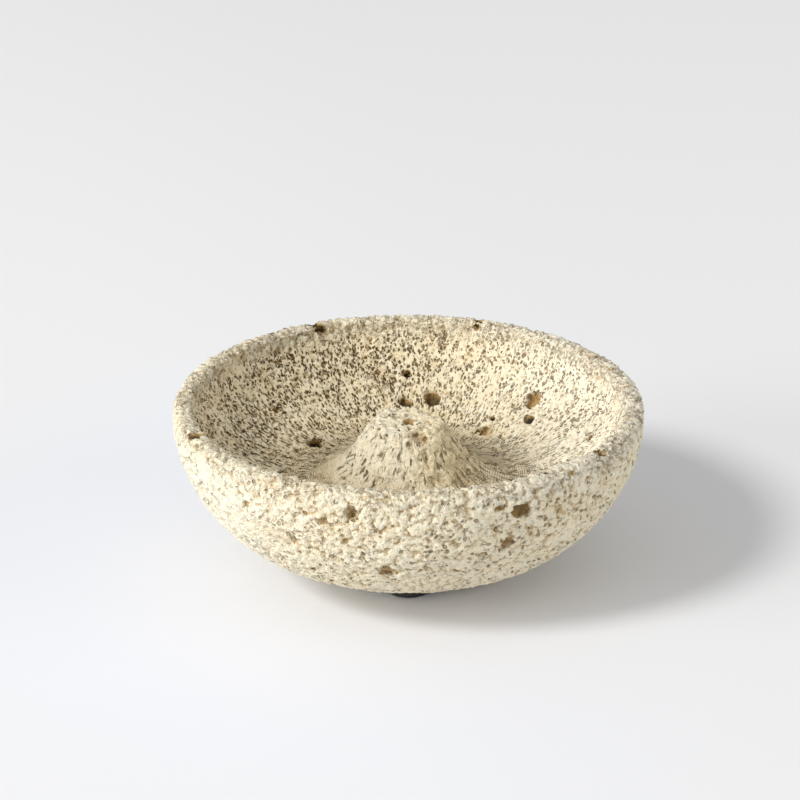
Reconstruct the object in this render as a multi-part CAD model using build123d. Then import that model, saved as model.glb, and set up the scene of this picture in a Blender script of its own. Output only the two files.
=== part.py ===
from build123d import *
import math
import os

# A porous stone incense stick holder: a thick hand-sized bowl, turned from one block together with
# the blunt cone in its middle, which is drilled for the stick. It stands on three round rubber pads,
# each stuck to the flat ground base with its own adhesive disc.
# Frame: origin on the table under the bowl's axis, +Z up, -Y towards the viewer. Millimetres, degrees.

# Stone, outside
bowl_radius = 60.0  # widest outside radius, a little under the rim
stone_height = 44.0  # from the ground base up to the rim
base_radius = 24.0  # ground flat that carries the pads

# Rim and dish
rim_thickness = 5.2
rim_round_outside = 2.5  # it starts at the widest level, this far under the rim
rim_round_inside = 1.6
dish_depth = 28.0  # depth of the dish ellipse at the axis, where the cone now stands

# Cone in the middle
cone_drop = 6.7  # the cone's flat top lies this far under the rim
cone_top_radius = 9.0
cone_flank_angle = 57.0  # above the horizontal
cone_edge_round = 1.8
cone_foot_round = 18.0  # sweep from the flank into the dish

# Drilled hole for the stick
stick_hole_diameter = 2.5
stick_hole_depth = 14.0

# Rubber pads and their adhesive discs
pad_diameter = 12.0
pad_thickness = 1.7
pad_edge_round = 0.5
pad_inset = 1.2  # from the base's edge in to the pad's edge
adhesive_thickness = 0.3
adhesive_margin = 0.4  # the adhesive stops this far inside the pad's edge
pad_places = ["front", "right", "left"]  # evenly round the axis, the first one towards the viewer

# Large pores are broken bubbles: flat-sided pits that narrow to their floor, square to the skin.
small_pore = 2.6  # mouth across corners
medium_pore = 3.4
large_pore = 4.4
pore_sides = 7
pore_side_angle = 22.0  # from the pit's own axis
pore_depth_share = 0.55  # depth over mouth
pore_proud = 1.0  # the cut starts this far outside the skin

# Pores in the dish: bearing from +X, dip below the rim along the dish ellipse, mouth.
dish_pores = [
    (90.5, 29.0, small_pore),
    (91.5, 42.0, medium_pore),
    (81.0, 40.0, large_pore),
    (53.5, 51.0, medium_pore),
    (44.5, 31.5, large_pore),
    (40.5, 40.0, medium_pore),
    (139.0, 54.0, large_pore),
    (141.0, 34.5, small_pore),
    (188.0, 45.0, medium_pore),
    (8.0, 30.0, small_pore),
    (232.0, 42.0, large_pore),
    (300.0, 36.0, medium_pore),
]

# Pores in the outside wall: bearing from +X, dip below the widest level along the outside ellipse, mouth.
wall_pores = [
    (257.0, 5.0, large_pore),
    (297.0, 6.0, large_pore),
    (294.5, 18.0, medium_pore),
    (265.0, 28.0, large_pore),
    (250.0, 8.0, small_pore),
    (241.5, 17.5, small_pore),
    (288.5, 21.0, small_pore),
    (353.0, 22.5, medium_pore),
    (20.0, 24.0, large_pore),
    (58.0, 12.0, medium_pore),
    (85.0, 34.0, large_pore),
    (118.0, 16.0, medium_pore),
    (152.0, 28.0, large_pore),
    (190.0, 20.0, medium_pore),
    (212.0, 34.0, medium_pore),
]

# Chips where a pore breaks through the rim: bearing from +X, mouth.
rim_chips = [
    (116.5, medium_pore),
    (70.5, small_pore),
    (324.5, small_pore),
    (204.0, medium_pore),
]

# Hollows on the edge of the cone's top: bearing from +X, mouth.
cone_hollows = [
    (289.0, large_pore),
    (63.0, medium_pore),
    (190.0, small_pore),
]

# Levels and ellipses that follow from the sizes above
base_level = pad_thickness + adhesive_thickness
rim_level = base_level + stone_height
widest_level = rim_level - rim_round_outside
cone_top_level = rim_level - cone_drop
hole_floor_level = cone_top_level - stick_hole_depth
hole_radius = stick_hole_diameter / 2
dish_radius = bowl_radius - rim_thickness
base_dip = math.degrees(math.acos(base_radius / bowl_radius))
wall_depth = (widest_level - base_level) / math.sin(math.radians(base_dip))


def on_ellipse(radius, depth, level, dip):
    """Plan radius and height of a point on a half ellipse that hangs below the given level."""
    turn = math.radians(dip)
    return radius * math.cos(turn), level - depth * math.sin(turn)


def skin_normal(radius, depth, dip):
    """Outward unit normal of that half ellipse, as its radial and vertical parts."""
    turn = math.radians(dip)
    radial, vertical = depth * math.cos(turn), -radius * math.sin(turn)
    size = math.hypot(radial, vertical)
    return radial / size, vertical / size


def dip_where_flank_meets_dish():
    """Dip of the dish ellipse at the point where the cone's straight flank runs into it."""
    run = 1 / math.tan(math.radians(cone_flank_angle))
    # Radius along the flank is start + run * depth below the rim. Put into the ellipse's equation
    # that gives a quadratic in the depth.
    start = cone_top_radius - run * cone_drop
    a = 1 / dish_depth**2 + (run / dish_radius) ** 2
    b = 2 * run * start / dish_radius**2
    c = (start / dish_radius) ** 2 - 1
    depth = (-b + math.sqrt(b * b - 4 * a * c)) / (2 * a)
    return math.degrees(math.asin(depth / dish_depth))


def ring_edge(body, radius, level):
    """The circular edge of a turned body that has this radius and height."""
    rings = body.edges().filter_by(GeomType.CIRCLE)
    return rings.sort_by(lambda e: abs(e.radius - radius) + abs(e.arc_center.Z - level))[0]


def turned_stone():
    """The bowl and its cone as they come off the lathe, with the drilled hole and no pores."""
    foot_dip = dip_where_flank_meets_dish()
    foot_radius, foot_level = on_ellipse(dish_radius, dish_depth, rim_level, foot_dip)
    outside = EllipticalCenterArc((0, widest_level), bowl_radius, wall_depth, -base_dip, arc_size=base_dip)
    dish = EllipticalCenterArc((0, rim_level), dish_radius, dish_depth, -foot_dip, arc_size=foot_dip)
    lip = CenterArc((bowl_radius - rim_round_outside, widest_level), rim_round_outside, 0, 90)
    rim = Line(lip @ 1, dish @ 1)
    inside = Polyline(
        (foot_radius, foot_level),
        (cone_top_radius, cone_top_level),
        (hole_radius, cone_top_level),
        (hole_radius, hole_floor_level),
        (0, hole_floor_level),
        (0, base_level),
        outside @ 0,
    )
    section = make_face([outside.edge(), lip.edge(), rim.edge(), dish.edge(), *inside.edges()])
    body = revolve(Plane.XZ * section, Axis.Z)
    for radius, level, size in (
        (foot_radius, foot_level, cone_foot_round),
        (dish_radius, rim_level, rim_round_inside),
        (cone_top_radius, cone_top_level, cone_edge_round),
    ):
        body = fillet(ring_edge(body, radius, level), size)
    return body


def pore(bearing, radius, level, out, up, mouth):
    """The cut for one pore: its mouth's centre as bearing, plan radius and height, and the radial and
    vertical parts of the direction it opens in."""
    turn = math.radians(bearing)
    centre = (radius * math.cos(turn), radius * math.sin(turn), level)
    along_ring = (-math.sin(turn), math.cos(turn), 0)
    opens = (out * math.cos(turn), out * math.sin(turn), up)
    widened = mouth / 2 + pore_proud * math.tan(math.radians(pore_side_angle))
    top = Pos(0, 0, pore_proud) * RegularPolygon(widened, pore_sides)
    pit = extrude(top, -(pore_proud + pore_depth_share * mouth), taper=pore_side_angle)
    return Plane(centre, x_dir=along_ring, z_dir=opens) * pit


def pores():
    """The cuts for every large pore."""
    cuts = []
    for bearing, dip, mouth in dish_pores:
        radius, level = on_ellipse(dish_radius, dish_depth, rim_level, dip)
        out, up = skin_normal(dish_radius, dish_depth, dip)
        cuts.append(pore(bearing, radius, level, -out, -up, mouth))
    for bearing, dip, mouth in wall_pores:
        radius, level = on_ellipse(bowl_radius, wall_depth, widest_level, dip)
        out, up = skin_normal(bowl_radius, wall_depth, dip)
        cuts.append(pore(bearing, radius, level, out, up, mouth))
    for bearing, mouth in rim_chips:
        cuts.append(pore(bearing, bowl_radius - rim_thickness / 2, rim_level, 0, 1, mouth))
    for bearing, mouth in cone_hollows:
        cuts.append(pore(bearing, cone_top_radius, cone_top_level, 1, 1, mouth))
    return cuts


def stone_bowl():
    return turned_stone() - pores()


def on_pad_circle(bearing):
    """Centre of a pad, on the circle that keeps the pads' edges inside the base's edge."""
    turn = math.radians(bearing)
    radius = base_radius - pad_inset - pad_diameter / 2
    return radius * math.cos(turn), radius * math.sin(turn)


def foot_pad(bearing):
    """A rubber disc on the table, rounded at its lower edge."""
    x, y = on_pad_circle(bearing)
    disc = Cylinder(pad_diameter / 2, pad_thickness, align=(Align.CENTER, Align.CENTER, Align.MIN))
    disc = fillet(ring_edge(disc, pad_diameter / 2, 0), pad_edge_round)
    return Pos(x, y, 0) * disc


def adhesive_disc(bearing):
    """The thin disc that bonds a pad to the ground base."""
    x, y = on_pad_circle(bearing)
    radius = pad_diameter / 2 - adhesive_margin
    disc = Cylinder(radius, adhesive_thickness, align=(Align.CENTER, Align.CENTER, Align.MIN))
    return Pos(x, y, pad_thickness) * disc


def build():
    nodes = {"stone_bowl": stone_bowl()}
    for number, place in enumerate(pad_places):
        bearing = 360 * number / len(pad_places) - 90
        nodes[f"foot_pad_{place}"] = foot_pad(bearing)
        nodes[f"pad_adhesive_{place}"] = adhesive_disc(bearing)
    return nodes


os.makedirs("parts", exist_ok=True)
for node, shape in build().items():
    export_step(shape, f"parts/{node}.step")
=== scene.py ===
import math
import random

import bmesh
import bpy
import numpy as np
from mathutils import Matrix, Vector, kdtree, noise


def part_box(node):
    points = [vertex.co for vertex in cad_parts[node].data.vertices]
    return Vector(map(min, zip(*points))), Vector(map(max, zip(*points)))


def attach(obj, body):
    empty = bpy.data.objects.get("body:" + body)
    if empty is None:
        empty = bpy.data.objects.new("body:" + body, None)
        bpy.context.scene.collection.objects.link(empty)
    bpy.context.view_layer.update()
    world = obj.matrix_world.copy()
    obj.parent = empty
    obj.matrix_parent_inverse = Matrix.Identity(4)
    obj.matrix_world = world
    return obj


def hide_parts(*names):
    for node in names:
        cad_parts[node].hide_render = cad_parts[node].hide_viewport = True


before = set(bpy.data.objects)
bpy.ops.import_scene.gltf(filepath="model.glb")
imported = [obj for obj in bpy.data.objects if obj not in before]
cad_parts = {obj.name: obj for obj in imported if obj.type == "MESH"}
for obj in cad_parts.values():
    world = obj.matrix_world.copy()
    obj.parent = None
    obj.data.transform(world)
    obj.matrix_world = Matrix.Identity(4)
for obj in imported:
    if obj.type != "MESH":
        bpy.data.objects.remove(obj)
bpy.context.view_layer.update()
mm = 0.001
scene = bpy.context.scene
print("frame loaded:", sorted(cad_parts))

# The turned shape, as the solid has it, for placing pores and telling the zones apart
stoneLow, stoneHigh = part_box("stone_bowl")
bowlShape = {
    "bowlRadius": stoneHigh.x,
    "rimLevel": stoneHigh.z,
    "baseLevel": stoneLow.z,
    "baseRadius": 24 * mm,
    "lipRound": 2.5 * mm,
    "rimThickness": 5.2 * mm,
    "dishDepth": 28 * mm,
    "coneTopLevel": stoneHigh.z - 6.7 * mm,
    "coneTopRadius": 9 * mm,
    "holeRadius": 1.25 * mm,
    "sweepRadius": 18 * mm,  # from the cone's flank into the dish
    "sweepPlan": 29.7 * mm,  # plan radius and height of the sweep's middle
    "sweepLevel": stoneHigh.z - 5.6 * mm,
}
widestLevel = bowlShape["rimLevel"] - bowlShape["lipRound"]
dishRadius = bowlShape["bowlRadius"] - bowlShape["rimThickness"]
baseShare = bowlShape["baseRadius"] / bowlShape["bowlRadius"]
wallDepth = (widestLevel - bowlShape["baseLevel"]) / math.sqrt(1 - baseShare**2)


def onEllipse(radius, depth, level, bearing, dip, side):
    # a point on the half ellipse below a level, and the direction that leaves the stone there
    turn = math.radians(bearing)
    down = math.radians(dip)
    plan = radius * math.cos(down)
    spot = Vector((plan * math.cos(turn), plan * math.sin(turn), level - depth * math.sin(down)))
    out = Vector((depth * math.cos(down), 0, -radius * math.sin(down))).normalized() * side
    return spot, Matrix.Rotation(turn, 3, "Z") @ out


def onRing(bearing, radius, level, lean):
    # a point at a plan radius and height, opening upwards and leaning outwards by so many degrees
    turn = math.radians(bearing)
    tip = math.radians(lean)
    spot = Vector((radius * math.cos(turn), radius * math.sin(turn), level))
    return spot, Matrix.Rotation(turn, 3, "Z") @ Vector((math.sin(tip), 0, math.cos(tip)))


def onDish(bearing, dip):
    spot, out = onEllipse(dishRadius, bowlShape["dishDepth"], bowlShape["rimLevel"], bearing, dip, -1)
    # near the cone the sweep lies over the ellipse
    inwards = bowlShape["sweepPlan"] - math.hypot(spot.x, spot.y)
    if inwards > 0:
        lean = math.asin(inwards / bowlShape["sweepRadius"])
        level = bowlShape["sweepLevel"] - bowlShape["sweepRadius"] * math.cos(lean)
        return onRing(bearing, bowlShape["sweepPlan"] - inwards, level, math.degrees(lean))
    return spot, out


def onWall(bearing, dip):
    return onEllipse(bowlShape["bowlRadius"], wallDepth, widestLevel, bearing, dip, 1)


# The pores that can be told one by one. Dish and wall: bearing and dip in degrees; the others: bearing.
# Then mouth and depth in millimetres, and how much shade is painted inside them.
bigPores = {
    "dish": [
        (90.5, 29, 2.4, 2.0, 1.0), (91.5, 42, 3.3, 2.2, 0.85), (81, 40, 4.6, 3.0, 0.8),
        (53.5, 51, 4.3, 2.2, 0.32), (55, 44.5, 1.9, 1.3, 0.9), (56.5, 53, 1.8, 1.2, 0.8),
        (44.5, 31.5, 4.6, 2.7, 0.5), (40.5, 40, 3.0, 2.0, 1.0), (139, 54, 5.0, 3.2, 1.0),
        (146.5, 57.5, 3.0, 1.4, 0.8), (151, 52.5, 2.0, 1.1, 0.8), (159, 61, 3.4, 1.1, 0.35),
        (170, 62.5, 3.0, 0.9, 0.35), (141, 34.5, 2.4, 1.5, 0.8), (188, 45, 3.4, 2.0, 0.8),
        (8, 30, 2.6, 1.6, 0.7), (232, 42, 4.4, 2.6, 0.8), (300, 36, 3.4, 2.0, 0.8),
        (115.5, 3, 2.7, 2.0, 0.9), (70.3, 3, 1.7, 1.3, 0.9),
    ],
    "wall": [
        (257, 4.2, 4.2, 2.6, 0.25), (297, 6, 4.5, 2.7, 0.7), (291, 3.5, 2.0, 1.1, 0.6),
        (294.5, 18, 3.8, 1.6, 0.4), (265, 28, 4.6, 1.8, 0.35), (250, 8, 2.6, 1.3, 0.35),
        (241.5, 17.5, 2.6, 1.2, 0.3), (228.5, 9, 2.0, 1.0, 0.45), (232.5, 7.5, 1.8, 0.9, 0.45),
        (227, 5.5, 1.8, 0.9, 0.45), (288.5, 21, 2.6, 1.2, 0.35), (353, 22.5, 3.4, 1.7, 0.5),
        (20, 24, 4.4, 2.4, 0.6), (58, 12, 3.4, 1.9, 0.6), (85, 34, 4.4, 2.4, 0.6),
        (118, 16, 3.4, 1.9, 0.7), (152, 28, 4.4, 2.3, 0.5), (190, 20, 3.4, 1.9, 0.5),
        (212, 34, 3.4, 1.8, 0.5),
    ],
    "rim": [(116.5, 3.6, 2.2, 1.0), (70.5, 2.6, 1.8, 1.0), (324.5, 2.8, 1.8, 0.9), (204, 3.4, 1.9, 0.8)],
    "cone": [(289, 4.4, 1.5, 0.2), (63, 3.4, 1.3, 0.2), (190, 2.6, 1.3, 0.25)],
    "lip": [(275, 2.6, 1.0, 0.4), (60, 2.2, 0.7, 0.4)],
    "coneDrop": 0.4 * mm,  # the cone's hollows lie this far under its top, on its rounded edge
    "coneLean": 45,
    "lipShare": 0.8,  # of the stick hole's radius
}


def poreList():
    # every listed pore as place, direction, mouth, depth and darkness, in metres
    midRim = bowlShape["bowlRadius"] - bowlShape["rimThickness"] / 2
    coneTop = bowlShape["coneTopLevel"]
    rings = {
        "rim": (midRim, bowlShape["rimLevel"], 0),
        "cone": (bowlShape["coneTopRadius"], coneTop - bigPores["coneDrop"], bigPores["coneLean"]),
        "lip": (bowlShape["holeRadius"] * bigPores["lipShare"], coneTop, 0),
    }
    pores = [(onDish(bearing, dip), sizes) for bearing, dip, *sizes in bigPores["dish"]]
    pores += [(onWall(bearing, dip), sizes) for bearing, dip, *sizes in bigPores["wall"]]
    for name, ring in rings.items():
        pores += [(onRing(bearing, *ring), sizes) for bearing, *sizes in bigPores[name]]
    return [(spot, out, mouth * mm, depth * mm, dark) for (spot, out), (mouth, depth, dark) in pores]


# The zones of the skin. Values in fours, here and below, are for these in this order.
zoneNames = ("dish", "cone", "rim", "wall")
zoneEdges = {
    "rimDrop": (7 * mm, 1.5 * mm),  # below the rim's top: where its look starts, and where it is full
    "rimRadius": (dishRadius - 3 * mm, dishRadius + 0.5 * mm),
    "coneRadius": (15 * mm, 23 * mm),  # where the cone gives way to the dish
    "insideRadius": dishRadius + 1.2 * mm,
}


def fade(value, low, high):
    # 0 below low and 1 above high, eased between them
    share = np.clip((value - low) / (high - low), 0, 1)
    return share * share * (3 - 2 * share)


def ellipseLevel(radius, reach, depth, level):
    return level - depth * np.sqrt(np.clip(1 - (radius / reach) ** 2, 0, 1))


def stoneZones(points):
    # where the stone is dish, cone, rim or outside wall, as weights from 0 to 1
    radius = np.hypot(points[:, 0], points[:, 1])
    height = points[:, 2]
    dishLevel = ellipseLevel(radius, dishRadius, bowlShape["dishDepth"], bowlShape["rimLevel"])
    wallLevel = ellipseLevel(radius, bowlShape["bowlRadius"], wallDepth, widestLevel)
    inside = (height > (dishLevel + wallLevel) / 2) & (radius < zoneEdges["insideRadius"])
    rimStart, rimFull = zoneEdges["rimDrop"]
    rim = fade(height, bowlShape["rimLevel"] - rimStart, bowlShape["rimLevel"] - rimFull)
    rim *= fade(radius, *zoneEdges["rimRadius"])
    cone = np.where(inside, 1 - fade(radius, *zoneEdges["coneRadius"]), 0)
    dish = np.where(inside, 1 - cone, 0) * (1 - rim)
    wall = np.where(inside, 0, 1) * (1 - rim)
    return {"dish": dish, "cone": cone, "rim": rim, "wall": wall, "radius": radius, "height": height}


def zoneSum(zones, weights):
    return sum(weight * zones[name] for name, weight in zip(zoneNames, weights))


def newObject(name, data):
    piece = bpy.data.objects.new(name, data)
    scene.collection.objects.link(piece)
    return piece


def applied(piece):
    # the mesh with its modifiers worked in
    graph = bpy.context.evaluated_depsgraph_get()
    mesh = bpy.data.meshes.new_from_object(piece.evaluated_get(graph))
    piece.modifiers.clear()
    old = piece.data
    piece.data = mesh
    bpy.data.meshes.remove(old)


# Open bubbles: the listed pores, and small ones over and above them
bubbleForm = {
    "wider": 1.1,  # ball over mouth
    "cap": 1.35,  # depth over the ball's half height
    "flattest": 0.55,  # half height over radius
    "sink": 0.35,  # how deep the ball's middle lies, in half heights
    "stretch": (0.84, 1.19),
    "lumpScale": 1.5,
    "lumps": 0.34,
    "largeMouth": 4 * mm,
    "largeLumps": 0.22,
    "detail": 3,  # subdivisions of a listed pore's ball
}
smallBubbles = {
    "count": 90,
    "tries": 3,  # for each of them
    "detail": 2,
    "mouth": (1.0 * mm, 1.7 * mm),
    "skew": 2.2,  # higher for more of the small mouths
    "depth": (0.45, 0.65),  # over the mouth
    # how much shade is painted inside them
    "dark": (0.5, 1),
    "wish": (0.5, 0.2, 2.0, 1.0),
    "apart": 0.62,  # from middle to middle, over the two mouths
    "freeRadius": 4 * mm,  # none this near the axis
    "baseHeight": 0.2 * mm,  # fewer on the ground base
    "baseWish": 0.25,
}


def bubble(bm, spot, out, mouth, depth, detail, draw):
    # an uneven ball, sunk so that the skin cuts it below its lips
    radius = mouth / 2 * bubbleForm["wider"]
    half = max(depth / bubbleForm["cap"], radius * bubbleForm["flattest"])
    made = bmesh.ops.create_icosphere(bm, subdivisions=detail, radius=1)["verts"]
    shift = Vector([draw.uniform(0, 50) for _ in range(3)])  # each has its own stretch of the noise
    stretch = draw.uniform(*bubbleForm["stretch"])
    lumps = bubbleForm["lumps"] if mouth < bubbleForm["largeMouth"] else bubbleForm["largeLumps"]
    for vert in made:
        vert.co *= 1 + lumps * noise.noise(vert.co * bubbleForm["lumpScale"] + shift)
    place = Matrix.Translation(spot - out * (half * bubbleForm["sink"]))
    aim = out.to_track_quat("Z", "Y").to_matrix().to_4x4()
    spin = Matrix.Rotation(draw.uniform(0, math.tau), 4, "Z")
    size = Matrix.Diagonal((radius * stretch, radius / stretch, half, 1))
    bmesh.ops.transform(bm, matrix=place @ aim @ spin @ size, verts=made)


def scatterBubbles(mesh, draw, taken):
    # random places on the skin, clear of each other and of the listed pores
    mesh.calc_loop_triangles()
    corners = np.array([[mesh.vertices[i].co for i in t.vertices] for t in mesh.loop_triangles], float)
    sides = corners[:, 1:] - corners[:, :1]
    areas = np.linalg.norm(np.cross(sides[:, 0], sides[:, 1]), axis=1) / 2
    zones = stoneZones(corners.mean(1))
    onBase = zones["height"] < bowlShape["baseLevel"] + smallBubbles["baseHeight"]
    wish = zoneSum(zones, smallBubbles["wish"])
    wish *= np.where(zones["radius"] < smallBubbles["freeRadius"], 0, 1)
    wish *= np.where(onBase, smallBubbles["baseWish"], 1)
    chances = (areas * wish).cumsum()
    low, high = smallBubbles["mouth"]
    found = []
    for _ in range(smallBubbles["count"] * smallBubbles["tries"]):
        index = int(np.searchsorted(chances, draw.random() * chances[-1]))
        a, b, c = (Vector(corner) for corner in corners[index])
        u, v = draw.random(), draw.random()
        if u + v > 1:
            u, v = 1 - u, 1 - v
        spot = a + (b - a) * u + (c - a) * v
        out = (b - a).cross(c - a).normalized()
        mouth = low + (high - low) * draw.random() ** smallBubbles["skew"]
        if all((spot - other).length > smallBubbles["apart"] * (mouth + size) for other, size in taken):
            taken.append((spot, mouth))
            depth = mouth * draw.uniform(*smallBubbles["depth"])
            found.append((spot, out, mouth, depth, draw.uniform(*smallBubbles["dark"])))
        if len(found) >= smallBubbles["count"]:
            break
    return found


def cutBubbles(piece, name, bubbles, detail, draw):
    bm = bmesh.new()
    for spot, out, mouth, depth, dark in bubbles:
        bubble(bm, spot, out, mouth, depth, detail, draw)
    mesh = bpy.data.meshes.new(name)
    bm.to_mesh(mesh)
    bm.free()
    cutter = newObject(name, mesh)
    cut = piece.modifiers.new("openBubbles", "BOOLEAN")
    cut.operation = "DIFFERENCE"
    cut.solver = "MANIFOLD"
    cut.object = cutter
    applied(piece)
    bpy.data.objects.remove(cutter)
    bpy.data.meshes.remove(mesh)


def readPoints(mesh):
    points = np.empty(len(mesh.vertices) * 3, np.float32)
    mesh.vertices.foreach_get("co", points)
    return points.reshape(-1, 3).astype(float)


def readNormals(mesh):
    normals = np.empty(len(mesh.vertices) * 3, np.float32)
    mesh.vertex_normals.foreach_get("vector", normals)
    return normals.reshape(-1, 3).astype(float)


def addAttribute(mesh, name, kind, field, values):
    layer = mesh.attributes.new(name, kind, "POINT")
    layer.data.foreach_set(field, values.astype(np.float32).ravel())


def cellChance(cells, salt):
    # a fixed random share, 0 to 1, for each cell of a whole-number grid
    mix = (cells[:, 0] * 73856093) ^ (cells[:, 1] * 19349663) ^ (cells[:, 2] * 83492791) ^ (salt * 40503)
    mix = (mix ^ (mix >> 13)) * 1274126177
    mix = (mix ^ (mix >> 15)) * 668265263
    return ((mix ^ (mix >> 17)) & 0xFFFF) / 0xFFFF


def grain(points, wave, salt):
    # smooth noise, about -1 to 1, with its bumps one wave apart
    at = points / wave
    cells = np.floor(at).astype(np.int64)
    inside = at - cells
    ease = inside**3 * (inside * (inside * 6 - 15) + 10)
    total = np.zeros(len(points))
    for step in np.ndindex(2, 2, 2):
        corner = cells + step
        away = inside - step
        slope = sum((cellChance(corner, salt + axis) * 2 - 1) * away[:, axis] for axis in range(3))
        total += slope * np.where(np.array(step, bool), ease, 1 - ease).prod(axis=1)
    return total * 1.6


def warped(points, wave, reach, salt):
    # the points pushed about, so that what is laid on them gets ragged
    return points + reach * np.stack([grain(points, wave, salt + 10 * axis) for axis in range(3)], axis=1)


def nearestCell(points, cell, salt):
    # how far the nearest of the scattered middles is, in cells, and that middle's own share
    at = points / cell
    cells = np.floor(at).astype(np.int64)
    gap = np.full(len(points), 9.0)
    pick = np.zeros(len(points))
    for step in np.ndindex(3, 3, 3):
        corner = cells + np.array(step) - 1
        middle = corner + np.stack([cellChance(corner, salt + axis) for axis in range(3)], axis=1)
        away = np.linalg.norm(at - middle, axis=1)
        nearer = away < gap
        pick = np.where(nearer, cellChance(corner, salt + 7), pick)
        gap = np.where(nearer, away, gap)
    return gap, pick


def pits(points, cell, reach, share, steep, salt):
    # one pit in so many cells, each with its own reach; 1 on a pit's floor and 0 outside it
    gap, pick = nearestCell(warped(points, 0.8 * cell, 0.38 * cell, salt + 50), cell, salt)
    inwards = 1 - gap / (reach * (0.6 + 0.4 * pick / share))
    return np.where(pick < share, fade(inwards * steep, 0, 1), 0)


# Relief of the mesh. Heights and depths are in millimetres and the other lengths in metres.
# A salt makes each noise its own.
stoneSkin = {
    "seed": 11,
    "weld": 0.002 * mm,
    "voxel": 0.29 * mm,
    "smoothing": 0.5,
    "smoothRounds": 6,
    "triangles": 196000,
    "raised": 0.1,
    "rimWorn": 0.25,
    "footWorn": 1.3,  # the wall draws in above the ground base
    "footHeights": (5 * mm, 15 * mm),
    "noises": [  # height, wave and salt
        ((0.20, 0.20, 0.20, 0.20), 15 * mm, 3),
        ((0.06, 0.14, 0.12, 0.14), 4.6 * mm, 100),
        ((0.06, 0.12, 0.14, 0.10), 1.5 * mm, 130),
    ],
    "grainCell": (1.5 * mm, 190),
    "grainWarp": (1.4 * mm, 0.4 * mm, 160),
    "grainHeight": (0.12, 0.5, 0.8, 0.5),
    "grainMiddle": 0.48,
    "gapShare": (0.2, 0.4, 0.75, 0.6),  # the gaps between the grains
    "gapEdges": (0.50, 0.80),
    "gapDepth": 0.40,
    "crownRadii": (8.5 * mm, 10.5 * mm),  # from the cone's top to its flank
    "crownGrains": 0.5,  # coarser on the cone's top
    "coarsePits": {"cell": 2.5 * mm, "reach": 0.58, "share": 0.55, "steep": 1.5, "salt": 17},
    "coarseShare": (0.15, 0.30, 0.6, 0.5),
    "smallPits": {"cell": 1.3 * mm, "reach": 0.60, "share": 0.80, "steep": 2.2, "salt": 217},
    "smallShare": (1.0, 0.5, 0.7, 0.7),
    "pitDepth": 0.58,
    "crowds": (8 * mm, 417),
    "crowdEdges": (-0.45, 0.1),
    "crowdLeast": 0.45,
    "grooves": {"cell": 2.2 * mm, "reach": 0.55, "share": 0.7, "steep": 2.0, "salt": 250},
    "grooveGirth": 9 * mm,
    "grooveSquash": 0.5,
    "grooveDepth": 0.8,
    "grooveDark": 0.5,
    "holeCalm": (0.1 * mm, 1.2 * mm),  # outside the drilled hole, which stays true
    "baseCalm": (0.1 * mm, 1.5 * mm),  # above the ground base, which stays flat for the pads
    "baseEdge": (22 * mm, 25 * mm),
    "baseEdgeRough": 0.3,
    "insideBox": 0.03 * mm,
}


def skinPits(points, zones):
    # the pits of the skin: small ones everywhere, coarse ones mostly outside and on the rim
    coarse = pits(points, **stoneSkin["coarsePits"]) * zoneSum(zones, stoneSkin["coarseShare"])
    small = pits(points, **stoneSkin["smallPits"]) * zoneSum(zones, stoneSkin["smallShare"])
    least = stoneSkin["crowdLeast"]
    crowded = least + (1 - least) * fade(grain(points, *stoneSkin["crowds"]), *stoneSkin["crowdEdges"])
    return np.maximum(coarse, small) * crowded


def flankGrooves(points):
    # short grooves that run down the cone's flank
    turn = np.arctan2(points[:, 1], points[:, 0])
    girth = stoneSkin["grooveGirth"]
    down = points[:, 2] * stoneSkin["grooveSquash"]
    unrolled = np.stack([np.cos(turn) * girth, np.sin(turn) * girth, down], axis=1)
    return pits(unrolled, **stoneSkin["grooves"])


def calmShare(zones):
    # the drilled hole and the ground base stay truer than the rest
    aside = zones["radius"] - bowlShape["holeRadius"]
    above = zones["height"] - bowlShape["baseLevel"]
    edge = stoneSkin["baseEdgeRough"] * fade(zones["radius"], *stoneSkin["baseEdge"])
    ground = 1 - fade(above, *stoneSkin["baseCalm"])
    return fade(aside, *stoneSkin["holeCalm"]) * (1 - ground * (1 - edge))


def keepInside(mesh, points):
    # nothing stands proud of the solid's own box
    plan = np.hypot(points[:, 0], points[:, 1])
    most = bowlShape["bowlRadius"] - stoneSkin["insideBox"]
    points[:, :2] *= np.minimum(1, most / np.maximum(plan, 1e-9))[:, None]
    points[:, 2] = np.clip(points[:, 2], bowlShape["baseLevel"], bowlShape["rimLevel"])
    mesh.vertices.foreach_set("co", points.astype(np.float32).ravel())
    mesh.update()


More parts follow.
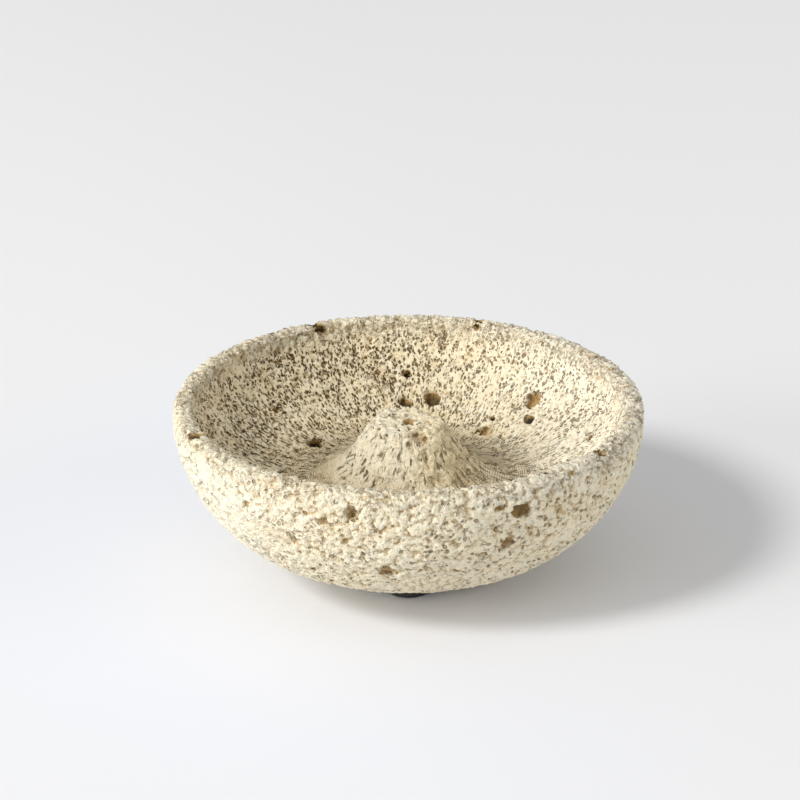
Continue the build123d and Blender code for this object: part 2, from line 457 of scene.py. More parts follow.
def roughen(mesh):
    points = readPoints(mesh)
    zones = stoneZones(points)
    foot = (1 - fade(zones["height"], *stoneSkin["footHeights"])) * zones["wall"]
    flank = fade(zones["radius"], *stoneSkin["crownRadii"])
    crown = stoneSkin["crownGrains"] * zones["cone"] * (1 - flank)
    push = stoneSkin["raised"] - stoneSkin["rimWorn"] * zones["rim"] - stoneSkin["footWorn"] * foot
    for heights, wave, salt in stoneSkin["noises"]:
        push += zoneSum(zones, heights) * grain(points, wave, salt)
    # rounded grains with gaps between them
    gap, _ = nearestCell(warped(points, *stoneSkin["grainWarp"]), *stoneSkin["grainCell"])
    push += (zoneSum(zones, stoneSkin["grainHeight"]) + crown) * (stoneSkin["grainMiddle"] - gap)
    between = fade(gap, *stoneSkin["gapEdges"]) * (zoneSum(zones, stoneSkin["gapShare"]) + crown)
    pitted = skinPits(points, zones)
    groove = flankGrooves(points) * zones["cone"] * flank
    push -= stoneSkin["gapDepth"] * between
    push -= stoneSkin["pitDepth"] * pitted
    push -= stoneSkin["grooveDepth"] * groove
    # how far each point sank into pits, gaps and grooves; the material paints this as shade, with brown
    # soil
    sunk = np.maximum(np.maximum(pitted, between), stoneSkin["grooveDark"] * groove)
    addAttribute(mesh, "sunk", "FLOAT", "value", sunk)
    keepInside(mesh, points + readNormals(mesh) * (push * calmShare(zones) * mm)[:, None])


# Painted shade in the hollows of the bubbles and in the stick hole
hollowShadeLook = {
    "middle": 0.4,  # depths below the mouth, where the search for a bubble's points starts
    "mouthReach": 0.62,
    "depthReach": 0.75,
    "steep": 1.5,
    "start": 0.15,
    "holeLip": 0.45,  # painted shade just inside the stick hole
    "holeLipDrops": (-0.2 * mm, 0.35 * mm),
    "holeDeep": 0.4,  # more painted shade, added further down
    "holeDeepDrops": (1 * mm, 5 * mm),
    "holeMargin": 0.35 * mm,
}


def bubbleDepths(points, bubbles):
    # how deep in a bubble each point lies, times the shade painted in that bubble
    tree = kdtree.KDTree(len(points))
    for index, point in enumerate(points):
        tree.insert(point, index)
    tree.balance()
    hollowShade = np.zeros(len(points))
    for spot, out, mouth, depth, dark in bubbles:
        reach = max(mouth * hollowShadeLook["mouthReach"], depth * hollowShadeLook["depthReach"])
        for point, index, gap in tree.find_range(spot - out * depth * hollowShadeLook["middle"], reach):
            share = (spot - point).dot(out) / depth * hollowShadeLook["steep"] - hollowShadeLook["start"]
            hollowShade[index] = max(hollowShade[index], dark * min(1, max(0, share)))
    return hollowShade


def holeDepths(points, zones):
    # painted shade inside the stick hole: some just under the lip, more further down
    drop = bowlShape["coneTopLevel"] - points[:, 2]
    dark = hollowShadeLook["holeLip"] * fade(drop, *hollowShadeLook["holeLipDrops"])
    dark += hollowShadeLook["holeDeep"] * fade(drop, *hollowShadeLook["holeDeepDrops"])
    drilled = zones["radius"] < bowlShape["holeRadius"] + hollowShadeLook["holeMargin"]
    return dark * np.where(drilled, 1, 0) * zones["cone"]


def markSkin(mesh, bubbles):
    # what the material reads: the zones, and how deep in a bubble or in the stick hole a point lies,
    # which it paints as shade
    points = readPoints(mesh)
    zones = stoneZones(points)
    weights = np.stack([zones[name] for name in zoneNames], axis=1)
    addAttribute(mesh, "zones", "FLOAT_COLOR", "color", weights)
    hollowShade = np.maximum(bubbleDepths(points, bubbles), holeDepths(points, zones))
    addAttribute(mesh, "hollowShade", "FLOAT", "value", hollowShade)


def buildStone():
    draw = random.Random(stoneSkin["seed"])
    bm = bmesh.new()
    bm.from_mesh(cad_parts["stone_bowl"].data)
    bmesh.ops.remove_doubles(bm, verts=bm.verts, dist=stoneSkin["weld"])
    mesh = bpy.data.meshes.new("stoneBowl")
    bm.to_mesh(mesh)
    bm.free()
    piece = newObject("stoneBowl", mesh)
    pores = poreList()
    small = scatterBubbles(mesh, draw, [(spot, mouth) for spot, out, mouth, depth, dark in pores])
    cutBubbles(piece, "listedPores", pores, bubbleForm["detail"], draw)
    cutBubbles(piece, "smallBubbles", small, smallBubbles["detail"], draw)
    print("bubbles cut:", len(pores), "listed,", len(small), "small,", len(piece.data.polygons), "faces")
    remesh = piece.modifiers.new("evenSkin", "REMESH")
    remesh.mode = "VOXEL"
    remesh.voxel_size = stoneSkin["voxel"]
    weather = piece.modifiers.new("wornEdges", "SMOOTH")
    weather.factor = stoneSkin["smoothing"]
    weather.iterations = stoneSkin["smoothRounds"]
    applied(piece)
    print("even skin:", len(piece.data.vertices), "points")
    roughen(piece.data)
    thin = piece.modifiers.new("fewerFaces", "DECIMATE")
    thin.ratio = min(1, stoneSkin["triangles"] / (2 * len(piece.data.polygons)))
    applied(piece)
    keepInside(piece.data, readPoints(piece.data))
    markSkin(piece.data, pores + small)
    for face in piece.data.polygons:
        face.use_smooth = True
    print("stone roughened:", len(piece.data.polygons), "triangles")
    return piece


# Node helpers
def addNode(tree, kind, label, **sockets):
    node = tree.nodes.new(kind)
    node.label = label
    for name, value in sockets.items():
        node.inputs[name].default_value = value
    return node


def feed(tree, socket, value):
    # a socket gets either a link or a plain value
    if isinstance(value, bpy.types.NodeSocket):
        tree.links.new(value, socket)
    else:
        socket.default_value = value


def mathNode(tree, operation, *values, clamp=False):
    node = tree.nodes.new("ShaderNodeMath")
    node.operation = operation
    node.use_clamp = clamp
    for socket, value in zip(node.inputs, values):
        feed(tree, socket, value)
    return node.outputs[0]


def times(tree, first, *others):
    for other in others:
        first = mathNode(tree, "MULTIPLY", first, other)
    return first


def mixColor(tree, factor, first, second):
    node = tree.nodes.new("ShaderNodeMix")
    node.data_type = "RGBA"
    for index, value in ((0, factor), (6, first), (7, second)):
        feed(tree, node.inputs[index], value)
    return node.outputs[2]


def vectorNode(tree, operation, first, second=None, output="Vector"):
    node = tree.nodes.new("ShaderNodeVectorMath")
    node.operation = operation
    tree.links.new(first, node.inputs[0])
    if second is not None:
        node.inputs[1].default_value = second
    return node.outputs[output]


def noiseNode(tree, label, vector, **sockets):
    node = addNode(tree, "ShaderNodeTexNoise", label, **sockets)
    tree.links.new(vector, node.inputs["Vector"])
    return node.outputs[0]


def ramp(tree, value, low, high):
    # 0 below low and 1 above high, eased; low may be the larger
    node = tree.nodes.new("ShaderNodeMapRange")
    node.interpolation_type = "SMOOTHSTEP"
    feed(tree, node.inputs["Value"], value)
    feed(tree, node.inputs["From Min"], low)
    feed(tree, node.inputs["From Max"], high)
    return node.outputs[0]


def addBump(tree, shader, height, distance, strength):
    bump = addNode(tree, "ShaderNodeBump", "relief", Strength=strength, Distance=distance)
    tree.links.new(height, bump.inputs["Height"])
    tree.links.new(bump.outputs[0], shader.inputs["Normal"])


def newGroup(name, values, output):
    # a group that takes a vector and named values, and puts out one value
    tree = bpy.data.node_groups.new(name, "ShaderNodeTree")
    tree.interface.new_socket("Vector", in_out="INPUT", socket_type="NodeSocketVector")
    for label, value in values.items():
        socket = tree.interface.new_socket(label, in_out="INPUT", socket_type="NodeSocketFloat")
        socket.default_value = value
    tree.interface.new_socket(output, in_out="OUTPUT", socket_type="NodeSocketFloat")
    return tree, tree.nodes.new("NodeGroupInput").outputs, tree.nodes.new("NodeGroupOutput").inputs


def pinholeGroup():
    # open pinholes: one in some of the cells, each with its own width, a ragged edge and its own depth
    values = {"Scale": 1.0, "Ragged": 0.3, "Width": 0.4, "Share": 0.6, "Soft": 0.5}
    tree, given, result = newGroup("pinholes", values, "Mask")
    wobble = addNode(tree, "ShaderNodeTexNoise", "wobble", Detail=2.0)
    tree.links.new(given["Vector"], wobble.inputs["Vector"])
    tree.links.new(mathNode(tree, "MULTIPLY", given["Scale"], 1.9), wobble.inputs["Scale"])
    cells = tree.nodes.new("ShaderNodeTexVoronoi")
    tree.links.new(given["Vector"], cells.inputs["Vector"])
    tree.links.new(given["Scale"], cells.inputs["Scale"])
    picks = tree.nodes.new("ShaderNodeSeparateColor")
    tree.links.new(cells.outputs["Color"], picks.inputs[0])
    stray = times(tree, mathNode(tree, "SUBTRACT", wobble.outputs[0], 0.5), given["Ragged"])
    away = mathNode(tree, "ADD", cells.outputs["Distance"], stray)
    width = times(tree, given["Width"], mathNode(tree, "MULTIPLY_ADD", picks.outputs["Red"], 0.5, 0.5))
    inner = times(tree, width, mathNode(tree, "SUBTRACT", 1.0, given["Soft"]))
    present = mathNode(tree, "LESS_THAN", picks.outputs["Green"], given["Share"])
    depth = mathNode(tree, "MULTIPLY_ADD", picks.outputs["Blue"], 0.45, 0.55)
    tree.links.new(times(tree, ramp(tree, away, width, inner), present, depth), result["Mask"])
    return tree


def mottleGroup():
    # slow and quick unevenness of a raw surface, from 0 to 1
    tree, given, result = newGroup("mottle", {"Scale": 0.1, "Contrast": 1.0}, "Value")
    cloud = addNode(tree, "ShaderNodeTexNoise", "cloud", Detail=5.0, Roughness=0.62)
    tree.links.new(given["Vector"], cloud.inputs["Vector"])
    tree.links.new(given["Scale"], cloud.inputs["Scale"])
    spread = times(tree, mathNode(tree, "SUBTRACT", cloud.outputs[0], 0.5), given["Contrast"])
    tree.links.new(mathNode(tree, "ADD", spread, 0.5, clamp=True), result["Value"])
    return tree


pinholes = pinholeGroup()
mottle = mottleGroup()


def useGroup(tree, group, vector, **sockets):
    node = tree.nodes.new("ShaderNodeGroup")
    node.node_tree = group
    tree.links.new(vector, node.inputs["Vector"])
    for name, value in sockets.items():
        feed(tree, node.inputs[name], value)
    return node.outputs[0]


def newMaterial(name):
    # a material with its shader, and Object coordinates counted in millimetres
    material = bpy.data.materials.new(name)
    material.use_nodes = True
    tree = material.node_tree
    place = tree.nodes.new("ShaderNodeTexCoord")
    scale = addNode(tree, "ShaderNodeMapping", "millimetres", Scale=(1000, 1000, 1000))
    tree.links.new(place.outputs["Object"], scale.inputs["Vector"])
    return material, tree, tree.nodes["Principled BSDF"], scale.outputs[0]


def planVector(tree, place):
    return vectorNode(tree, "MULTIPLY", place, (1, 1, 0))


def planRadius(tree, place):
    return vectorNode(tree, "LENGTH", planVector(tree, place), output="Value")


def roundAndDown(tree, place, girth, down):
    # coordinates that run round the axis, as on a tube of that girth, and down
    joined = tree.nodes.new("ShaderNodeVectorMath")
    joined.operation = "MULTIPLY_ADD"
    joined.inputs[1].default_value = (girth, girth, 0)
    tree.links.new(vectorNode(tree, "NORMALIZE", planVector(tree, place)), joined.inputs[0])
    drop = tree.nodes.new("ShaderNodeCombineXYZ")
    tree.links.new(down, drop.inputs["Z"])
    tree.links.new(drop.outputs[0], joined.inputs[2])
    return joined.outputs[0]


def readAttribute(tree, name):
    node = addNode(tree, "ShaderNodeAttribute", name)
    node.attribute_name = name
    return node.outputs


# Pits too small for the mesh; lengths in millimetres, "across" runs from the left to the right
finePits = {
    "slopeGirth": 38.0,
    "slopeStretch": 16.0,
    "flankGirth": 9.0,
    "flankSquash": 0.5,
    "crackSquash": 0.3,
    "dashes": {"Scale": 1.8, "Ragged": 0.8, "Width": 0.70, "Share": 0.58, "Soft": 0.5},
    "dashShare": (1.2, 0.0, 0.55, 0.1),
    "hairs": {"Scale": 2.6, "Ragged": 0.7, "Width": 0.62, "Share": 0.45, "Soft": 0.5},
    "hairShare": (1.05, 0.0, 0.55, 0.1),
    "upperRadii": (17.0, 29.0),  # dashes and hairs start above the foot of the cone
    "cracks": {"Scale": 1.8, "Ragged": 1.2, "Width": 0.62, "Share": 0.55, "Soft": 0.5},
    "crackShare": (0.0, 1.05, 0.0, 0.0),
    "crackRadii": (9.0, 11.0),
    "streaks": {"Scale": 1.5, "Ragged": 1.1, "Width": 0.72, "Share": 0.5, "Soft": 0.5},
    "streakShare": (1.0, 1.0, 0.0, 0.0),
    "streakInner": (13.0, 18.0),
    "streakOuter": (36.0, 26.0),
    "streakAcross": (4.0, 16.0),
    "dots": {"Scale": 0.66, "Ragged": 0.8, "Width": 0.56, "Share": 0.5, "Soft": 0.6},
    "dotShare": (0.6, 0.4, 1.0, 1.05),
    "crownDots": 0.5,
    "crownRadii": (11.5, 9.5),
    "eaten": {"Scale": 0.8, "Detail": 3.0, "Roughness": 0.6},
    "eatenEdges": (0.56, 0.68),
    "eatenShare": (0.3, 0.2, 0.5, 0.35),
    "patches": {"Scale": 0.13, "Contrast": 2.2},
    "patchEdges": (0.2, 0.65),
    "patchFewer": 0.35,
    "fewerAcross": (-20.0, 40.0),
    "fewerShare": (0.17, 0.0, 0.0, 0.0),
}
stoneFinish = {
    "pale": (0.94, 0.86, 0.65, 1),
    "tan": (0.87, 0.725, 0.465, 1),
    "clouds": {"Scale": 0.22, "Contrast": 2.4},
    # painted shade, for the valley round the cone and for the dish's shaded left
    "valleyShade": (0.70, 0.55, 0.32, 1),
    "valleyShare": (0.42, 0.45, 0.0, 0.0),
    "valleyOuter": (40.0, 26.0),
    "valleyInner": (11.0, 17.0),
    "crown": (0.95, 0.89, 0.72, 1),
    "crownShare": (0.0, 0.5, 0.0, 0.0),
    # painted light: paler on the lit right of the dish and rim
    "litPale": (0.96, 0.915, 0.79, 1),
    # painted shade: warmer on the cone's shaded right
    "shadedWarm": (0.90, 0.73, 0.43, 1),
    "sideTints": [  # painted light and shade by side: colour, from where to where across, and share
        ("valleyShade", (-5.0, -40.0), (0.06, 0.0, 0.0, 0.0)),
        ("litPale", (10.0, 45.0), (0.45, 0.0, 0.4, 0.0)),
        ("shadedWarm", (-5.0, 9.0), (0.0, 0.5, 0.0, 0.0)),
    ],
    "outside": (0.91, 0.865, 0.72, 1),
    "outsideShare": (0.0, 0.0, 0.35, 0.3),
    "litLeftShare": (0.0, 0.0, 0.0, 0.35),  # painted light, added towards the lit left
    "leftAcross": (-15.0, -50.0),
    "rust": (0.60, 0.40, 0.20, 1),
    "stains": {"Scale": 0.07, "Contrast": 3.2},
    "stainStart": 0.74,
    "stainStrength": 0.9,
    "stainSpot": (13.5, -9.0, 27.0),  # where the cone's foot is stained
    "stainReach": (8.0, 1.0),
    "stainShare": (0.0, 1.0, 0.0, 0.0),
    "stainStreaks": {"Scale": 0.3, "Contrast": 3.0},
    "grains": {"Scale": 1.7, "Detail": 3.0, "Roughness": 0.6},
    "raggedness": 0.9,
    "faintAcross": (-20.0, 40.0),  # the pits tell less where the light falls straight into them
    "faintShare": (0.25, 0.15, 0.0, 0.0),
    # painted light: less painted shade in the pits on the wall's lit left
    "litFadeShare": (0.0, 0.0, 0.0, 0.65),
    # brown soil and painted shade in sunk places, and at the lips of the hollows
    "brown": (0.53, 0.35, 0.145, 1),
    "soiledShadeEdges": (0.25, 0.7),
    "soiledShadeShare": (0.4, 0.5, 0.55, 0.8),
    # painted shade in the pits: dark on the dish and cone, browner on the rim and wall
    "pit": (0.13, 0.060, 0.008, 1),
    "outerPitShade": (0.23, 0.13, 0.04, 1),
    "outerShare": (0.0, 0.0, 1.0, 1.0),
    "deepEdges": (0.55, 1.05),
    "deepShare": (0.5, 0.5, 0.5, 0.5),
    "pitEdges": (0.15, 0.7),
    "pitShare": (0.95, 0.8, 0.6, 0.65),
    # painted shade in the hollows: brown from their lips, a painted black shadow further in
    "hollowShadow": (0.05, 0.042, 0.03, 1),
    "brownHollow": (0.0, 0.5),
    "shadowHollow": (0.45, 1.0),
    "specular": 0.03,
    "roughness": 0.98,
    "cloudGloss": -0.1,
}
stoneBump = {
    "distance": 0.00042,
    "strength": 1.0,
    "grains": (0.7, 1.3, 1.6, 1.2),
    "pits": -2.2,
    "lumpNoise": {"Scale": 0.6, "Detail": 2.0},
    "lumps": (0.9, 2.6, 2.6, 2.2),
    "dripNoise": {"Scale": 0.55, "Detail": 3.0},
    "dripEdges": (0.36, 0.6),
    "dripRadii": (8.0, 10.5),
    "drips": (0.0, 1.8, 0.0, 0.0),
    "rings": 0.45,
    "ringGap": 0.62,  # millimetres from one turning mark to the next
    "ringStray": {"Scale": 0.35, "Contrast": 3.0},
    "strayPhase": 5.0,
    "ringRadii": (39.0, 27.0),
    "ringShare": (1.0, 0.0, 0.0, 0.0),
}


def readSkin(tree, place):
    # what steers the stone's look: its zones and hollows, and the place on the bowl in several ways
    zones = readAttribute(tree, "zones")
    weights = tree.nodes.new("ShaderNodeSeparateColor")
    tree.links.new(zones["Color"], weights.inputs[0])
    parted = tree.nodes.new("ShaderNodeSeparateXYZ")
    tree.links.new(place, parted.inputs[0])
    radius = planRadius(tree, place)
    below = mathNode(tree, "SUBTRACT", bowlShape["rimLevel"] / mm, parted.outputs["Z"])
    dip = mathNode(tree, "ARCTAN2", below, times(tree, radius, bowlShape["dishDepth"] / dishRadius))
    slopeDown = times(tree, dip, finePits["slopeStretch"])
    flankDown = times(tree, below, finePits["flankSquash"])
    crackDown = times(tree, below, finePits["crackSquash"])
    return {
        "zones": [weights.outputs[name] for name in ("Red", "Green", "Blue")] + [zones["Alpha"]],
        "hollowShade": readAttribute(tree, "hollowShade")["Fac"],
        "sunk": readAttribute(tree, "sunk")["Fac"],
        "place": place,
        "across": parted.outputs["X"],
        "radius": radius,
        "slope": roundAndDown(tree, place, finePits["slopeGirth"], slopeDown),
        "flank": roundAndDown(tree, place, finePits["flankGirth"], flankDown),
        "crackLine": roundAndDown(tree, place, finePits["flankGirth"], crackDown),
        "grains": noiseNode(tree, "grains", place, **stoneFinish["grains"]),
        "clouds": useGroup(tree, mottle, place, **stoneFinish["clouds"]),
    }


def byZone(tree, skin, weights):
    total = 0.0
    for zone, weight in zip(skin["zones"], weights):
        if weight:
            total = mathNode(tree, "MULTIPLY_ADD", zone, weight, total)
    return total


def rampByZone(tree, skin, value, edges, weights):
    return times(tree, ramp(tree, value, *edges), byZone(tree, skin, weights))


def pitMask(tree, skin):
    # dashes down the dish's slope, cracks down the cone, and dots and eaten spots all over
    place, radius, across = skin["place"], skin["radius"], skin["across"]
    upper = ramp(tree, radius, *finePits["upperRadii"])
    dashes = times(tree, useGroup(tree, pinholes, skin["slope"], **finePits["dashes"]), upper)
    hairs = times(tree, useGroup(tree, pinholes, skin["slope"], **finePits["hairs"]), upper)
    cracks = useGroup(tree, pinholes, skin["crackLine"], **finePits["cracks"])
    cracks = times(tree, cracks, ramp(tree, radius, *finePits["crackRadii"]))
    eaten = noiseNode(tree, "eaten", place, **finePits["eaten"])
    crown = times(tree, ramp(tree, radius, *finePits["crownRadii"]), skin["zones"][1])
    dotShare = byZone(tree, skin, finePits["dotShare"])
    dotShare = mathNode(tree, "MULTIPLY_ADD", crown, finePits["crownDots"], dotShare)
    pit = times(tree, useGroup(tree, pinholes, place, **finePits["dots"]), dotShare)
    for spots, share in (
        (dashes, finePits["dashShare"]),
        (hairs, finePits["hairShare"]),
        (cracks, finePits["crackShare"]),
        (ramp(tree, eaten, *finePits["eatenEdges"]), finePits["eatenShare"]),
    ):
        pit = mathNode(tree, "MAXIMUM", pit, times(tree, spots, byZone(tree, skin, share)))

    # where the pits are few they are also narrower
    patches = useGroup(tree, mottle, place, **finePits["patches"])
    patches = ramp(tree, patches, *finePits["patchEdges"])
    most = finePits["patchFewer"]
    fewer = rampByZone(tree, skin, across, finePits["fewerAcross"], finePits["fewerShare"])
    fewer = mathNode(tree, "ADD", fewer, mathNode(tree, "MULTIPLY_ADD", patches, -most, most))
    pit = mathNode(tree, "SUBTRACT", pit, fewer, clamp=True)

    # streaks at the right foot of the cone
    foot = times(
        tree,
        ramp(tree, radius, *finePits["streakInner"]),
        ramp(tree, radius, *finePits["streakOuter"]),
        ramp(tree, across, *finePits["streakAcross"]),
    )
    streaks = useGroup(tree, pinholes, skin["slope"], **finePits["streaks"])
    streaks = times(tree, streaks, foot, byZone(tree, skin, finePits["streakShare"]))
    return mathNode(tree, "MAXIMUM", pit, streaks)


def cleanColor(tree, skin):
    # pale stone with tan clouds; painted shade makes it warmer in the valley, on the dish's shaded left
    # and on the cone's shaded right; painted light makes it paler on the lit right of dish and rim and on
    # the wall's lit left; paler outside
    radius, across = skin["radius"], skin["across"]
    color = mixColor(tree, skin["clouds"], stoneFinish["tan"], stoneFinish["pale"])
    valleyShade = times(
        tree,
        ramp(tree, radius, *stoneFinish["valleyOuter"]),
        ramp(tree, radius, *stoneFinish["valleyInner"]),
        byZone(tree, skin, stoneFinish["valleyShare"]),
    )
    color = mixColor(tree, valleyShade, color, stoneFinish["valleyShade"])
    color = mixColor(tree, byZone(tree, skin, stoneFinish["crownShare"]), color, stoneFinish["crown"])
    for name, reach, share in stoneFinish["sideTints"]:
        color = mixColor(tree, rampByZone(tree, skin, across, reach, share), color, stoneFinish[name])
    # painted light: paler towards the wall's lit left
    litLeft = rampByZone(tree, skin, across, stoneFinish["leftAcross"], stoneFinish["litLeftShare"])
    outside = mathNode(tree, "ADD", litLeft, byZone(tree, skin, stoneFinish["outsideShare"]))
    return mixColor(tree, outside, color, stoneFinish["outside"])


def stainedColor(tree, skin, color):
    stain = useGroup(tree, mottle, skin["place"], **stoneFinish["stains"])
    stain = mathNode(tree, "SUBTRACT", stain, stoneFinish["stainStart"], clamp=True)
    color = mixColor(tree, times(tree, stain, stoneFinish["stainStrength"]), color, stoneFinish["rust"])
    away = vectorNode(tree, "DISTANCE", skin["place"], stoneFinish["stainSpot"], "Value")
    streak = times(
        tree,
        ramp(tree, away, *stoneFinish["stainReach"]),
        byZone(tree, skin, stoneFinish["stainShare"]),
        useGroup(tree, mottle, skin["flank"], **stoneFinish["stainStreaks"]),
    )
    return mixColor(tree, streak, color, stoneFinish["rust"])


def pittedColor(tree, skin, color, pit):
    # painted shade, with some brown staining: brown and dark pits, then the hollows of the bubbles and
    # the stick hole
    across = skin["across"]
    faint = rampByZone(tree, skin, across, stoneFinish["faintAcross"], stoneFinish["faintShare"])
    # painted light: the painted shade in the pits fades where the light falls
    litFade = rampByZone(tree, skin, across, stoneFinish["leftAcross"], stoneFinish["litFadeShare"])
    plain = mathNode(tree, "SUBTRACT", 1.0, mathNode(tree, "MAXIMUM", faint, litFade))
    spread = mathNode(tree, "SUBTRACT", skin["grains"], 0.5)
    ragged = mathNode(tree, "MULTIPLY_ADD", spread, stoneFinish["raggedness"], skin["sunk"])
    soiledAndShaded = rampByZone(tree, skin, ragged, stoneFinish["soiledShadeEdges"], stoneFinish["soiledShadeShare"])
    color = mixColor(tree, times(tree, soiledAndShaded, plain), color, stoneFinish["brown"])
    # painted shade in the deep sunk places and in the fine pinholes
    deepShade = rampByZone(tree, skin, ragged, stoneFinish["deepEdges"], stoneFinish["deepShare"])
    shallowShade = rampByZone(tree, skin, pit, stoneFinish["pitEdges"], stoneFinish["pitShare"])
    dark = times(tree, mathNode(tree, "MAXIMUM", deepShade, shallowShade), plain)
    outer = byZone(tree, skin, stoneFinish["outerShare"])
    pitShadeColor = mixColor(tree, outer, stoneFinish["pit"], stoneFinish["outerPitShade"])
    color = mixColor(tree, dark, color, pitShadeColor)
    lip = ramp(tree, skin["hollowShade"], *stoneFinish["brownHollow"])
    color = mixColor(tree, lip, color, stoneFinish["brown"])
    floor = ramp(tree, skin["hollowShade"], *stoneFinish["shadowHollow"])
    return mixColor(tree, floor, color, stoneFinish["hollowShadow"])


def turningRings(tree, skin):
    # fine rings left by the turning tool, strongest round the foot of the cone
    stray = useGroup(tree, mottle, skin["place"], **stoneBump["ringStray"])
    stray = times(tree, stray, stoneBump["strayPhase"])
    phase = mathNode(tree, "MULTIPLY_ADD", skin["radius"], math.tau / stoneBump["ringGap"], stray)
    nearFoot = rampByZone(tree, skin, skin["radius"], stoneBump["ringRadii"], stoneBump["ringShare"])
    return times(tree, mathNode(tree, "SINE", phase), nearFoot)


def stoneHeight(tree, skin, pit):
    # pinholes sink, grains and lumps stand up, and the cone's flank has run down in drips
    lumps = noiseNode(tree, "lumps", skin["place"], **stoneBump["lumpNoise"])
    drips = noiseNode(tree, "drips", skin["flank"], **stoneBump["dripNoise"])
    drips = ramp(tree, drips, *stoneBump["dripEdges"])
    drips = times(tree, drips, ramp(tree, skin["radius"], *stoneBump["dripRadii"]))
    height = times(tree, skin["grains"], byZone(tree, skin, stoneBump["grains"]))
    height = mathNode(tree, "MULTIPLY_ADD", pit, stoneBump["pits"], height)
    height = mathNode(tree, "MULTIPLY_ADD", lumps, byZone(tree, skin, stoneBump["lumps"]), height)
    height = mathNode(tree, "MULTIPLY_ADD", drips, byZone(tree, skin, stoneBump["drips"]), height)
    return mathNode(tree, "MULTIPLY_ADD", turningRings(tree, skin), stoneBump["rings"], height)


def stoneMaterial():
    material, tree, shader, place = newMaterial("porousStone")
    skin = readSkin(tree, place)
    pit = pitMask(tree, skin)
    color = stainedColor(tree, skin, cleanColor(tree, skin))
    tree.links.new(pittedColor(tree, skin, color, pit), shader.inputs["Base Color"])
    gloss = times(tree, skin["clouds"], stoneFinish["cloudGloss"])
    roughness = mathNode(tree, "ADD", gloss, stoneFinish["roughness"])
    tree.links.new(roughness, shader.inputs["Roughness"])
    shader.inputs["Specular IOR Level"].default_value = stoneFinish["specular"]
    addBump(tree, shader, stoneHeight(tree, skin, pit), stoneBump["distance"], stoneBump["strength"])
    return material


stone = buildStone()
stone.data.materials.clear()
stone.data.materials.append(stoneMaterial())
stone.data.polygons.foreach_set("material_index", np.zeros(len(stone.data.polygons), np.int32))
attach(stone, "root")
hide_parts("stone_bowl")
print("stone done")


# Rubber pads and their adhesive
padFinish = {
    "first": (0.018, 0.018, 0.019, 1),
    "second": (0.055, 0.053, 0.050, 1),  # worn
    "roughness": 0.62,
    "bump": 0.00006,
}
adhesiveFinish = {
    "first": (0.10, 0.095, 0.088, 1),
    "second": (0.22, 0.205, 0.175, 1),  # dusty
    "roughness": 0.7,
    "bump": 0.00003,
}
plainLook = {  # for both
    "clouds": {"Scale": 0.45, "Contrast": 2.0},
    "specks": {"Scale": 2.4, "Ragged": 0.4, "Width": 0.35, "Share": 0.4, "Soft": 0.7},
    "secondShare": 0.7,
    "cloudRoughness": 0.2,
    "bumpStrength": 0.8,
}


def plainMaterial(name, finish):
    # two tones in clouds, with fine specks in the skin
    material, tree, shader, place = newMaterial(name)
    cloud = useGroup(tree, mottle, place, **plainLook["clouds"])
    specks = useGroup(tree, pinholes, place, **plainLook["specks"])
    share = times(tree, cloud, plainLook["secondShare"])
    color = mixColor(tree, share, finish["first"], finish["second"])
    tree.links.new(color, shader.inputs["Base Color"])
    roughness = mathNode(tree, "MULTIPLY_ADD", cloud, plainLook["cloudRoughness"], finish["roughness"])
    tree.links.new(roughness, shader.inputs["Roughness"])
    height = mathNode(tree, "SUBTRACT", cloud, specks)
    addBump(tree, shader, height, finish["bump"], plainLook["bumpStrength"])
    return material


padRubber = plainMaterial("padRubber", padFinish)
padAdhesive = plainMaterial("padAdhesive", adhesiveFinish)
for name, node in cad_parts.items():
    if name.startswith(("foot_pad", "pad_adhesive")):
        node.data.materials.clear()
        node.data.materials.append(padRubber if name.startswith("foot_pad") else padAdhesive)
print("pads done")


# Floor, lights and camera
floorLook = {
    "size": 6.0,
    "color": (0.868, 0.869, 0.872, 1),
    "shade": (0.84, 0.841, 0.845, 1),
    "shadeWay": (0.9, 0.25, 0),  # painted shade: darker that way, as the light falls off, over these millimetres
    "shadeReach": (-50.0, 125.0),
    "clouds": {"Scale": 0.006, "Contrast": 1.5},
    "cloudShift": 12.0,
    "beside": (0.86, 0.88, 0.94, 1),  # next to the stone, whose warm glow it evens out
    "besideReach": (190.0, 50.0),
    "roughness": 0.6,
    "specular": 0.2,
}


def buildFloor():
    bm = bmesh.new()
    bmesh.ops.create_grid(bm, x_segments=1, y_segments=1, size=floorLook["size"] / 2)
    mesh = bpy.data.meshes.new("floor")
    bm.to_mesh(mesh)
    bm.free()
    floor = newObject("floor", mesh)
    material, tree, shader, place = newMaterial("paleFloor")
    across = vectorNode(tree, "DOT_PRODUCT", place, floorLook["shadeWay"], "Value")
    cloud = useGroup(tree, mottle, place, **floorLook["clouds"])
    across = mathNode(tree, "MULTIPLY_ADD", cloud, floorLook["cloudShift"], across)
    beside = ramp(tree, planRadius(tree, place), *floorLook["besideReach"])
    color = mixColor(tree, beside, floorLook["color"], floorLook["beside"])
    color = mixColor(tree, ramp(tree, across, *floorLook["shadeReach"]), color, floorLook["shade"])
    tree.links.new(color, shader.inputs["Base Color"])
    shader.inputs["Roughness"].default_value = floorLook["roughness"]
    shader.inputs["Specular IOR Level"].default_value = floorLook["specular"]
    floor.data.materials.append(material)


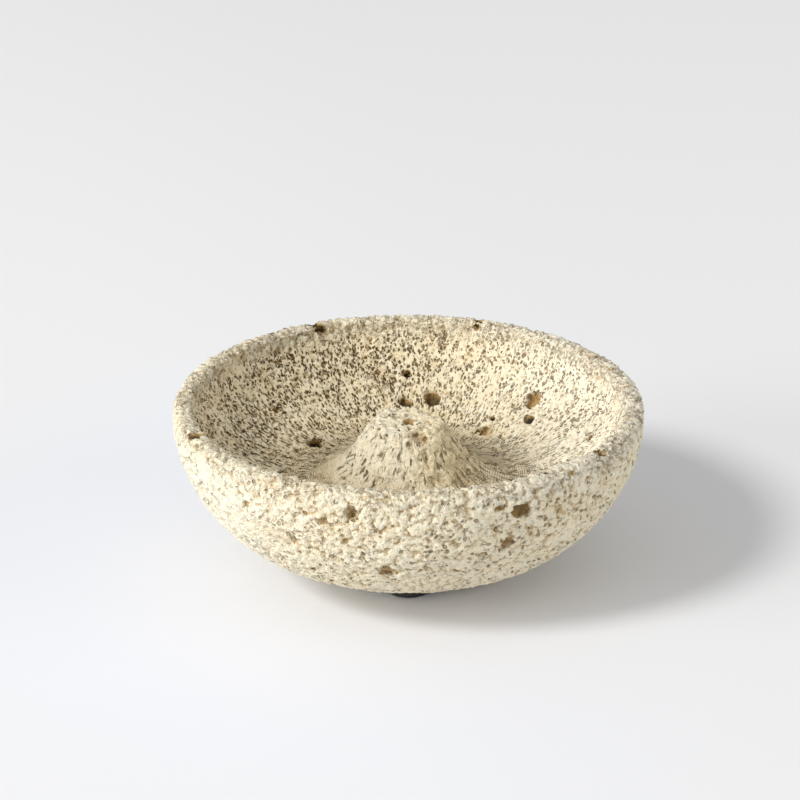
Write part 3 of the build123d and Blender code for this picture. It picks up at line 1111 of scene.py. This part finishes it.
lights = {
    "aim": (0, 0, 0.02),
    "sunFrom": (-0.625, -0.405, 0.667),
    "sunColor": (1.0, 0.99, 0.97),
    "sunStrength": 1.74,
    "sunWidth": 14,  # degrees across, for the soft edge of the shadow
    "lowFrom": (-1.1, -0.50, 0.34),
    "lowSize": 0.5,
    "lowPower": 7.0,
    "fillFrom": (1.2, -0.35, 0.5),
    "fillSize": 0.8,
    "fillPower": 3.0,
    "skyColor": (0.99, 0.997, 1.01, 1),
    "skyStrength": 0.50,
}


def addLight(name, kind, place, power):
    light = bpy.data.lights.new(name, kind)
    light.energy = power
    piece = newObject(name, light)
    piece.location = place
    piece.rotation_euler = (Vector(lights["aim"]) - piece.location).to_track_quat("-Z", "Y").to_euler()
    return light


def buildLights():
    sun = addLight("window", "SUN", lights["sunFrom"], lights["sunStrength"])
    sun.color = lights["sunColor"]
    sun.angle = math.radians(lights["sunWidth"])
    low = addLight("lowLeft", "AREA", lights["lowFrom"], lights["lowPower"])
    low.size = lights["lowSize"]
    fill = addLight("rightFill", "AREA", lights["fillFrom"], lights["fillPower"])
    fill.size = lights["fillSize"]
    world = bpy.data.worlds.new("softRoom")
    world.use_nodes = True
    sky = world.node_tree.nodes["Background"]
    sky.inputs["Color"].default_value = lights["skyColor"]
    sky.inputs["Strength"].default_value = lights["skyStrength"]
    scene.world = world


view = {
    "target": (0, 0, 23.5 * mm),
    "distance": 0.700,
    "elevation": 24.62,
    "focal": 2712,  # in pixels of an 800 pixel frame
    "frame": 800,
    "targetPixel": (409.1, 476.8),
    "sensor": 36,
    "clip": (0.01, 20),
}


def buildCamera():
    camera = bpy.data.cameras.new("camera")
    camera.sensor_fit = "HORIZONTAL"
    camera.sensor_width = view["sensor"]
    camera.lens = view["focal"] * view["sensor"] / view["frame"]
    camera.clip_start, camera.clip_end = view["clip"]
    piece = newObject("camera", camera)
    tilt = math.radians(view["elevation"])
    back = Vector((0, -math.cos(tilt), math.sin(tilt)))
    piece.location = Vector(view["target"]) + back * view["distance"]
    # the aim lies beside the target, by as much as the target lies off the frame's middle
    middle = view["frame"] / 2
    aside, above = (math.atan((pixel - middle) / view["focal"]) for pixel in view["targetPixel"])
    piece.rotation_euler = (math.pi / 2 - tilt + above, 0, aside)
    scene.camera = piece


buildFloor()
buildLights()
buildCamera()
scene.view_settings.view_transform = "Standard"
print("stage done")
